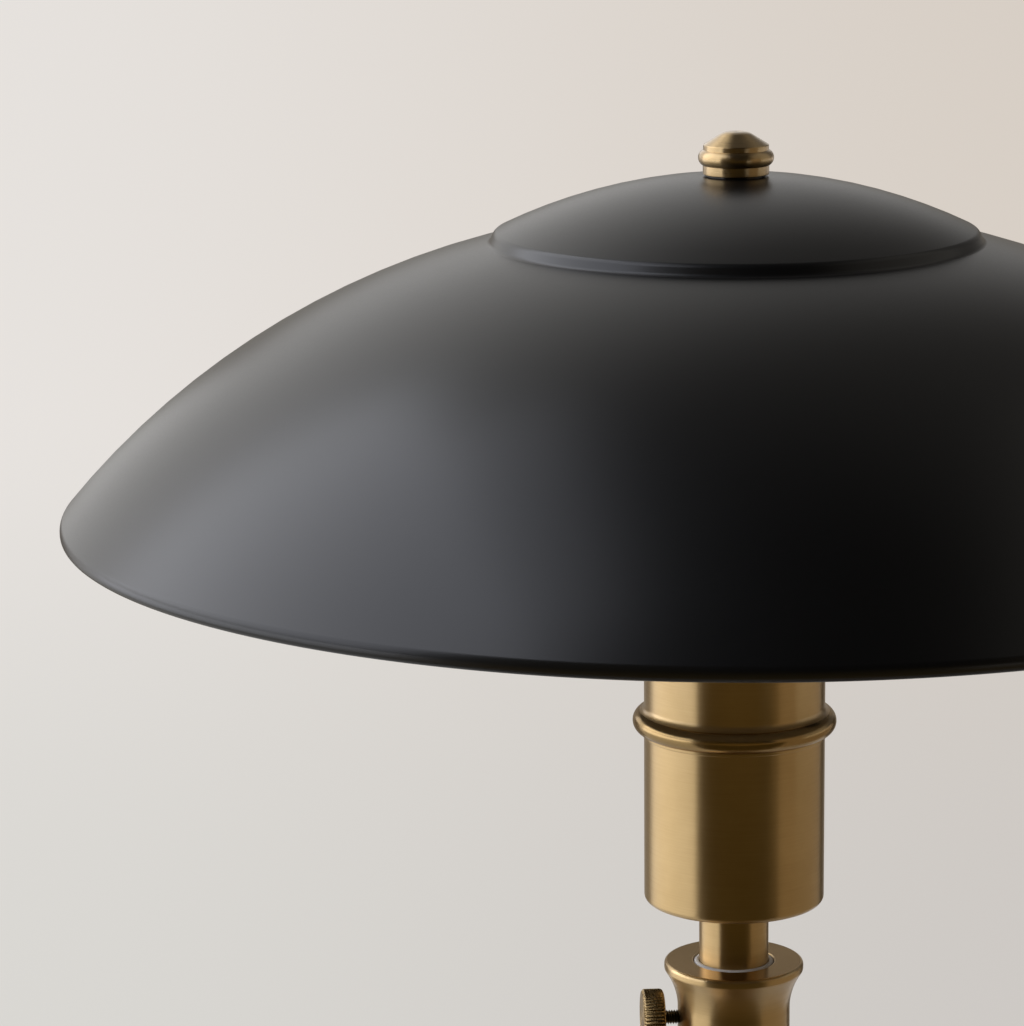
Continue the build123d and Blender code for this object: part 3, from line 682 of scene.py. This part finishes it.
shape = lathe(
    [(cup_bore, cup_rim), (lap_bore, cup_rim), (lap_bore, lap), (lip_radius, lap), (lip_radius, bead_low),
     (bead_radius, crest, bulge(bead_radius - lip_radius, half_bead)),
     (meeting_radius, meeting_level, -half_bead), (cup_radius, crest + cove_up, cove),
     (cup_radius, sleeve_top), (cup_bore, sleeve_top)],
    rounds=[(lip_radius, lap, 0.3), (cup_radius, sleeve_top, 0.3), (cup_bore, sleeve_top, 0.3)],
    steps=160)
for face in shape.faces:
    face.material_index = int(bead_low * mm < face.calc_center_median().z < meeting_level * mm)
sleeve = piece("socket_sleeve_shell", shape, antique_brass, "head", ["socket_sleeve"])
sleeve.data.materials.append(polished_shaded_brass)
even_shading(sleeve)
print("sleeve: bead", round(2 * bead_radius, 1), "mm across")

# %% [markdown]
# ## Column
# The stem is a drawn tube that slides in the post. The post is a wider tube in a trumpet-shaped foot.

# %% Stem, post and foot
def tube(node_name, wall, softness):
    """A tube with the size of a CAD node and lightly rounded ends."""
    low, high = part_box(node_name)
    outer, bottom, top = high.x / mm, low.z / mm, high.z / mm
    inner = outer - wall
    return lathe([(inner, bottom), (outer, bottom), (outer, top), (inner, top)],
                 rounds=[(outer, bottom, softness), (outer, top, softness)], steps=128)


stem_shape = tube("stem_tube", wall=1.5, softness=0.4)
post_shape = tube("post_tube", wall=2.0, softness=0.3)
stem = even_shading(piece("column_stem", stem_shape, antique_brass, "head", ["stem_tube"]))
post = even_shading(piece("column_post", post_shape, antique_brass, "stand", ["post_tube"]))

foot_low, foot_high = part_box("post_foot")
foot_level, foot_radius = foot_low.z / mm, foot_high.x / mm
foot_edge, neck_start, foot_top = [foot_level + rise for rise in (3.3, 10.1, 22)]
flare, neck_wall = 5.6, 2.65
foot_neck, foot_bore = foot_radius - flare, foot_radius - flare - neck_wall
foot_piece = even_shading(piece("post_foot_trumpet", lathe(
    [(foot_bore, foot_level), (foot_radius, foot_level), (foot_radius, foot_edge), (foot_neck, neck_start),
     (foot_neck, foot_top), (foot_bore, foot_top)],
    rounds=[(foot_radius, foot_level, 0.4), (foot_radius, foot_edge, 2.0), (foot_neck, neck_start, 7.0),
            (foot_neck, foot_top, 1.5)],
    steps=128), antique_brass, "stand", ["post_foot"]))
print("column:", stem.name, post.name, foot_piece.name)

# %% [markdown]
# ## Collar and bush
# The faces of the collar that look straight up, the flat top of its lip, get a second finish: smoother, so
# that it mirrors the stem, and darker and browner than the brushed neck, which is painted shade on that top.
# The collar is turned first, and then the screw's hole is drilled: a boolean with a cutter that is thrown
# away once the cut mesh is kept.

# %% Collar
collar_low, collar_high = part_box("collar")
collar_top, collar_bottom, lip = collar_high.z / mm, collar_low.z / mm, collar_high.x / mm
lip_edge, flare_end = [collar_top - drop for drop in (2.2, 8.2)]
ring_height, ring_width, lip_reach = 6, 1.6, 3.67
neck_radius = lip - lip_reach
ring, ring_top = neck_radius + ring_width, collar_bottom + ring_height
bush_bore, post_bore, post_end = 11.05, 12.75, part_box("post_tube")[1].z / mm
faces_up_for_shade = 0.97

collar_shape = lathe(
    [(bush_bore, collar_top), (lip, collar_top), (lip, lip_edge), (neck_radius, flare_end),
     (neck_radius, ring_top), (ring, ring_top), (ring, collar_bottom), (post_bore, collar_bottom),
     (post_bore, post_end), (bush_bore, post_end)],
    rounds=[(lip, collar_top, 1.0), (lip, lip_edge, 1.1), (neck_radius, flare_end, 16.0),
            (ring, ring_top, 1.4), (ring, collar_bottom, 1.4), (bush_bore, collar_top, 0.4)],
    steps=128)
# Faces that look up get the darker polished finish: painted shade on the lip's top.
for face in collar_shape.faces:
    face.material_index = int(face.normal.z > faces_up_for_shade)
collar = piece("collar_trumpet", collar_shape, antique_brass, "stand", ["collar"])
collar.data.materials.append(polished_shaded_brass)
print("collar: lip", round(2 * lip, 1), "mm across")

# %% [markdown]
# The thumb screw passes through the collar's wall. The cutter is a plain cylinder along the screw's axis.

# %% Drill the collar
screw_low, screw_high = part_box("thumb_screw")
screw_level = screw_low.z / 2 + screw_high.z / 2
hole, drill_length, drill_middle = 2.08 * mm, 40 * mm, -22 * mm
shape = bmesh.new()
bmesh.ops.create_cone(shape, cap_ends=True, segments=32, radius1=hole, radius2=hole, depth=drill_length)
bmesh.ops.rotate(shape, verts=shape.verts, matrix=Matrix.Rotation(radians(90), 3, "Y"))
bmesh.ops.translate(shape, verts=shape.verts, vec=(drill_middle, 0, screw_level))
drill = add_object("drill", keep_mesh("drill", shape))
cut = collar.modifiers.new("screw_hole", "BOOLEAN")
cut.object = drill
bpy.context.view_layer.update()
drilled = bpy.data.meshes.new_from_object(collar.evaluated_get(bpy.context.evaluated_depsgraph_get()))
collar.modifiers.remove(cut)
collar.data = drilled
collar.data.name = "collar_trumpet"
bpy.data.objects.remove(drill)
even_shading(collar)
print("collar drilled:", len(collar.data.polygons), "faces")

# %% [markdown]
# A pale nylon bush keeps brass from rubbing on brass. It shows as a thin ring round the stem. Moulded
# plastic has no brushing, only a fine matt grain.

# %% Nylon bush
def soft_plastic(name, colour, roughness, grain_size):
    """Moulded plastic: even colour with a little cloud, and a fine matt grain."""
    made, tree, shader = finish_tree(name)
    spot = place_on(tree)
    cloud = noise(tree, spot, 60.0, 3.0)
    grain = noise(tree, spot, 1 / grain_size, 2.0)
    fill(tree, shader, {
        "Base Color": blend_colours(tree, cloud, colour, tinted(colour, 1.25)),
        "Roughness": between(tree, grain, noise_low, noise_high, roughness - 0.06, roughness + 0.06),
        "Normal": bump(tree, grain, 0.15, 0.00003)})
    return made


nylon = soft_plastic("nylon_grey", (0.60, 0.59, 0.57, 1), 0.42, 0.0004)
bush_low, bush_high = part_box("collar_bush")
bush_lift, stem_play = 0.4, 0.06
bush_bottom, bush_top, bush_radius = bush_low.z / mm, bush_high.z / mm + bush_lift, bush_high.x / mm
bush_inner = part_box("stem_tube")[1].x / mm + stem_play
bush = even_shading(piece("nylon_bush", lathe(
    [(bush_inner, bush_bottom), (bush_radius, bush_bottom), (bush_radius, bush_top), (bush_inner, bush_top)],
    rounds=[(bush_radius, bush_top, 0.9), (bush_inner, bush_top, 0.3)], steps=128),
    nylon, "stand", ["collar_bush"]))
print("bush:", round(2 * bush_radius, 1), "mm across")

# %% [markdown]
# ## Thumb screw
# The head is a disc with straight knurls. A circle with every other point pulled in gives the teeth, and
# extrudes that widen and narrow on the way give the thickness, the rounded rim and the chamfer. A boolean
# per tooth would be slower and no truer. The disc is made upright and then laid along the screw's axis.

# %% Knurled disc
def knurled_disc(count, sections):
    """A toothed disc along +Z through sections of (height, crest radius, valley radius), in millimetres."""
    shape = bmesh.new()
    level, crest, valley = sections[0]
    rim = bmesh.ops.create_circle(shape, cap_ends=True, segments=2 * count, radius=crest * mm)["verts"]
    bmesh.ops.scale(shape, verts=rim[1::2], vec=(valley / crest, valley / crest, 1))
    bmesh.ops.translate(shape, verts=shape.verts, vec=(0, 0, level * mm))
    end = shape.faces[:]
    for next_level, next_crest, next_valley in sections[1:]:
        grown = bmesh.ops.extrude_face_region(shape, geom=end)["geom"]
        end = [part for part in grown if isinstance(part, bmesh.types.BMFace)]
        moved = [part for part in grown if isinstance(part, bmesh.types.BMVert)]
        crests = [vertex for vertex in moved if vertex.co.xy.length > (crest + valley) / 2 * mm]
        valleys = [vertex for vertex in moved if vertex.co.xy.length <= (crest + valley) / 2 * mm]
        bmesh.ops.scale(shape, verts=crests, vec=(next_crest / crest, next_crest / crest, 1))
        bmesh.ops.scale(shape, verts=valleys, vec=(next_valley / valley, next_valley / valley, 1))
        bmesh.ops.translate(shape, verts=moved, vec=(0, 0, (next_level - level) * mm))
        level, crest, valley = next_level, next_crest, next_valley
    bmesh.ops.recalc_face_normals(shape, faces=shape.faces)
    return shape


def lay(shape, degrees, axis, level):
    """Lay an upright shape on its side, and lift it to a level."""
    bmesh.ops.rotate(shape, verts=shape.verts, matrix=Matrix.Rotation(radians(degrees), 3, axis))
    bmesh.ops.translate(shape, verts=shape.verts, vec=(0, 0, level))


print("knurling ready")

# %% [markdown]
# The chamfer on the outer end cuts each tooth to a bright point. The knurls are darker in their valleys than
# on their crests: painted shade, set by the distance from the axis.

# %% Thumb screw head
head_length, head_radius, teeth, valley_radius, chamfer = 6.0, 7.9, 48, 7.35, 0.6
head_outer, screw_tip = -screw_low.x / mm, -screw_high.x / mm
head_inner = head_outer - head_length
side_on = 0.3

shape = knurled_disc(teeth, [
    (head_inner, 6.85, 6.75), (head_inner + 0.25, 7.4, 7.1), (head_inner + 0.6, 7.75, 7.28),
    (head_inner + 1.1, head_radius, valley_radius), (head_outer - chamfer, head_radius, valley_radius),
    (head_outer, valley_radius - 0.05, valley_radius - 0.10)])
lay(shape, -90, "Y", screw_level)
for face in shape.faces:
    face.material_index = int(abs(face.normal.x) < side_on)
screw_axis = {"centre": (0, 0, screw_level), "turn": (0, radians(90), 0), "axis": "X"}
screw_brass = brushed_metal("antique_brass_screw", brass_light, brass_dark, 0.27, lacquer=0.8, **screw_axis)
knurl_shaded_brass = brushed_metal("antique_brass_knurl_shaded", brass_light, brass_dark, 0.27,
                            valley=(valley_radius, head_radius - valley_radius), **screw_axis)
screw_head = piece("thumb_screw_head", shape, screw_brass, "thumb_screw", ["thumb_screw"])
screw_head.data.materials.append(knurl_shaded_brass)
print("thumb screw head:", len(screw_head.data.polygons), "faces")

# %% [markdown]
# The thread is a true helix: a small triangle, spun with a step along the axis at each turn, on a plain
# core. A bump map could fake it, but the outline of this thread shows against the pale paper.

# %% Screw thread
def add_thread(shape, crest, root, pitch, start, end, segments=24):
    """A V thread along Z from start to end, with its foot sunk into the core."""
    sunk = 0.1
    height = crest - root + sunk
    turns = int((end - start) / pitch) - 1
    upright = Matrix.Rotation(radians(90), 4, "X") @ Matrix.Rotation(radians(-90), 4, "Z")
    corners = bmesh.ops.create_circle(shape, cap_ends=True, segments=3, radius=1.0, matrix=upright)["verts"]
    depth, base = 1.5, sqrt(3)  # of a triangle in a circle of radius 1
    bmesh.ops.scale(shape, verts=corners, vec=(height * mm / depth, 1, pitch * mm / base))
    middle, first = crest - height / depth, start + pitch / 2
    bmesh.ops.translate(shape, verts=corners, vec=(middle * mm, 0, first * mm))
    climb = (0, 0, pitch * mm / segments)
    bmesh.ops.spin(shape, geom=list(corners[0].link_faces), cent=(0, 0, 0), axis=(0, 0, 1), dvec=climb,
                   angle=2 * pi * turns, steps=segments * turns)


thread_crest, thread_root, thread_pitch = 2.0, 1.60, 0.7
blackened = brushed_metal("dark_steel", (0.16, 0.14, 0.11, 1), (0.06, 0.052, 0.041, 1), 0.32, **screw_axis)
core_end, thread_end, thread_start = head_inner + 0.5, head_inner + 0.7, screw_tip + 0.3
shape = lathe([(0, screw_tip), (thread_root, screw_tip), (thread_root, core_end), (0, core_end)],
              rounds=[(thread_root, screw_tip, 0.3)], steps=48)
add_thread(shape, thread_crest, thread_root, thread_pitch, thread_start, thread_end)
bmesh.ops.recalc_face_normals(shape, faces=shape.faces)
lay(shape, -90, "Y", screw_level)
screw_thread = piece("thumb_screw_thread", shape, blackened, "thumb_screw", [])
print("thread:", len(screw_thread.data.polygons), "faces")

# %% [markdown]
# ## Base
# The weight is hidden under a spun brass cover with a ledge, a step and a low dome. The cover is drawn
# like the shade and given a wall.

# %% Base cover
base_low, base_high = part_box("base_cover")
edge_level, cover_top, base_radius = base_low.z / mm, base_high.z / mm, base_high.x / mm
step, dome_edge = [base_radius - inset for inset in (13.0, 14.5)]
ledge_level, ledge_top, dome_level = [edge_level + rise for rise in (17.0, 20.0, 24.5)]
flat_margin, base_curve, base_wall = 2.0, 170.0, 1.2
flat_radius = foot_radius + flat_margin

shape = lathe(
    [(pipe_hole, cover_top), (flat_radius, cover_top), (dome_edge, dome_level, base_curve), (step, ledge_top),
     (base_radius, ledge_level), (base_radius, edge_level)],
    rounds=[(dome_edge, dome_level, 2.0), (step, ledge_top, 2.0), (base_radius, ledge_level, 3.0)],
    steps=256, closed=False)
face_up(shape)
base = piece("base_cover_spun", shape, antique_brass, "stand", ["base_cover"])
add_wall(base, base_wall)
even_shading(base)
print("base:", round(2 * base_radius), "mm across")

# %% [markdown]
# A felt disc under the base keeps the table clean. Hair would show single fibres, but pressed felt is so
# short that a noise in its colour and bump is enough.

# %% Felt
def pressed_felt(name, colour):
    """Pressed wool: short fibres in every direction, matt, with a soft fuzz at the edge of the light."""
    made, tree, shader = finish_tree(name)
    fibres = noise(tree, place_on(tree), 900.0, 6.0, Distortion=2.5)
    fill(tree, shader, {
        "Base Color": blend_colours(tree, fibres, colour, tinted(colour, 2.2)),
        "Roughness": between(tree, fibres, 0.2, 0.8, 0.88, 1.0),
        "Sheen Weight": 0.3,
        "Normal": bump(tree, fibres, 0.6, 0.0003)})
    return made


felt_black = pressed_felt("felt_black", (0.018, 0.018, 0.017, 1))
felt_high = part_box("base_felt")[1]
felt_radius, felt_top = felt_high.x / mm, felt_high.z / mm
felt = piece("felt_pad", lathe([(0, 0), (felt_radius, 0), (felt_radius, felt_top), (0, felt_top)],
                               rounds=[(felt_radius, 0, 0.5), (felt_radius, felt_top, 0.5)], steps=128),
             felt_black, "stand", ["base_felt"])
print("felt:", round(2 * felt_radius), "mm across")

# %% [markdown]
# A rubber bush lines the hole for the cord in the back of the base. It is turned like the rest and then
# laid on its side.

# %% Cord bush
black_rubber = soft_plastic("cord_rubber", (0.012, 0.012, 0.012, 1), 0.6, 0.0003)
inlet_low, inlet_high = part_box("cord_bush")
inlet_level = (inlet_low.z + inlet_high.z) / 2
inlet_inner, inlet_outer = inlet_low.y / mm, inlet_high.y / mm
flange = (inlet_high.x - inlet_low.x) / 2 / mm
flange_width, flange_depth, inlet_bore = 1.6, 2.5, 3.2
barrel, face_start = flange - flange_width, inlet_outer - flange_depth
shape = lathe([(inlet_bore, inlet_inner), (barrel, inlet_inner), (barrel, face_start), (flange, face_start),
               (flange, inlet_outer), (inlet_bore, inlet_outer)],
              rounds=[(flange, inlet_outer, 1.2), (inlet_bore, inlet_outer, 0.6), (flange, face_start, 0.3)],
              steps=64)
lay(shape, -90, "X", inlet_level)
inlet = even_shading(piece("cord_inlet_bush", shape, black_rubber, "stand", ["cord_bush"]))
print("cord inlet:", round(2 * inlet_bore, 1), "mm bore")

# %% [markdown]
# ## Under the shade
# A harp of bent wire carries the shade round the bulb. These pieces have their shape from the CAD, so a
# copy of each mesh is merged and shaded smooth, and gets its own finish.

# %% Smooth copies
def smooth_copy(name, node_name, finish, body):
    """A copy of a CAD node with its triangles joined, so that it can be shaded smooth."""
    shape = bmesh.new()
    shape.from_mesh(frame["nodes"][node_name].data)
    bmesh.ops.remove_doubles(shape, verts=shape.verts, dist=2 * same_place)
    return piece(name, shape, finish, body, [node_name])


satin_nickel = brushed_metal("harp_nickel", (0.62, 0.60, 0.57, 1), (0.50, 0.48, 0.45, 1), 0.28)
for name, node_name in (("harp_wires", "harp_arms"), ("harp_hub_stud", "harp_hub")):
    smooth_copy(name, node_name, satin_nickel, "head")
print("harp: satin nickel")

# %% [markdown]
# The bulb is frosted, so the glass scatters what it lets through. Its screw cap, the porcelain ring and
# the brass shell of the holder are smooth copies too.

# %% Bulb and lamp holder
def frosted_glass(name):
    """Etched glass: it lets light through and scatters it, so the globe glows evenly."""
    made, tree, shader = finish_tree(name)
    etch = noise(tree, place_on(tree), 1800.0, 2.0)
    fill(tree, shader, {
        "Base Color": blend_colours(tree, etch, (0.93, 0.92, 0.89, 1), (0.98, 0.97, 0.95, 1)),
        "Roughness": between(tree, etch, noise_low, noise_high, 0.42, 0.55),
        "Transmission Weight": 0.55,
        "Normal": bump(tree, etch, 0.1, 0.00002)})
    return made


glass = frosted_glass("bulb_glass")
porcelain = soft_plastic("porcelain", (0.78, 0.77, 0.73, 1), 0.16, 0.002)
aluminium = brushed_metal("cap_aluminium", (0.72, 0.72, 0.73, 1), (0.60, 0.60, 0.61, 1), 0.30)
bright_brass = brushed_metal("bright_brass", (0.78, 0.58, 0.28, 1), (0.66, 0.47, 0.20, 1), 0.28)
smooth_copy("bulb_globe", "bulb_glass", glass, "bulb")
smooth_copy("bulb_screw_cap", "bulb_cap", aluminium, "bulb")
smooth_copy("holder_ring", "socket_insulator", porcelain, "head")
smooth_copy("holder_shell", "screw_shell", bright_brass, "head")
print("bulb and holder dressed")

# %% [markdown]
# The switch knob is moulded of a dark resin with wide ribs. The knurling of the thumb screw makes it too:
# fewer and wider teeth, and a rounded end in place of the chamfer.

# %% Switch
dark_resin = soft_plastic("switch_resin", (0.016, 0.013, 0.011, 1), 0.28, 0.0006)
knob_low, knob_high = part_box("switch_knob")
knob_start, knob_end = knob_low.x / mm, knob_high.x / mm
switch_level = (knob_low.z + knob_high.z) / 2
ribs, rib_crest, rib_valley = 14, 6.0, 5.5
shape = knurled_disc(ribs, [
    (knob_start, 5.7, 5.2), (knob_start + 0.5, rib_crest, rib_valley),
    (knob_end - 1.0, rib_crest, rib_valley), (knob_end - 0.4, 5.82, 5.3), (knob_end, 5.3, 4.9)])
lay(shape, 90, "Y", switch_level)
knob = even_shading(piece("switch_knob_ribbed", shape, dark_resin, "switch", ["switch_knob"]))
print("switch knob:", len(knob.data.polygons), "faces")

# %% [markdown]
# ## The pieces inside
# Nuts, washers, plugs and the weight keep their CAD meshes. Each gets the finish of its material slot.

# %% Finishes for the rest
zinc = brushed_metal("zinc_steel", (0.60, 0.60, 0.62, 1), (0.48, 0.48, 0.50, 1), 0.34)
solder = brushed_metal("solder", (0.55, 0.55, 0.55, 1), (0.42, 0.42, 0.42, 1), 0.42)
steel = brushed_metal("dark_steel_parts", (0.12, 0.11, 0.10, 1), (0.05, 0.045, 0.04, 1), 0.36)
iron = powder_coat("cast_iron", (0.06, 0.058, 0.055, 1), 0.62, 0.0025, 0.0003)
finishes = {
    "antique_brass": antique_brass, "shade_black": black_paint, "nylon_grey": nylon, "dark_steel": steel,
    "zinc_steel": zinc, "bright_brass": bright_brass, "harp_nickel": satin_nickel, "cast_iron": iron,
    "felt_black": felt_black, "bakelite": dark_resin, "porcelain": porcelain, "bulb_glass": glass,
    "cap_aluminium": aluminium, "solder": solder, "cord_rubber": black_rubber,
}
for part in frame["record"]["subparts"]:
    mesh = frame["nodes"][part["node"]].data
    mesh.materials.clear()
    mesh.materials.append(finishes[part["material_slot"]])
print("finishes:", len(finishes))
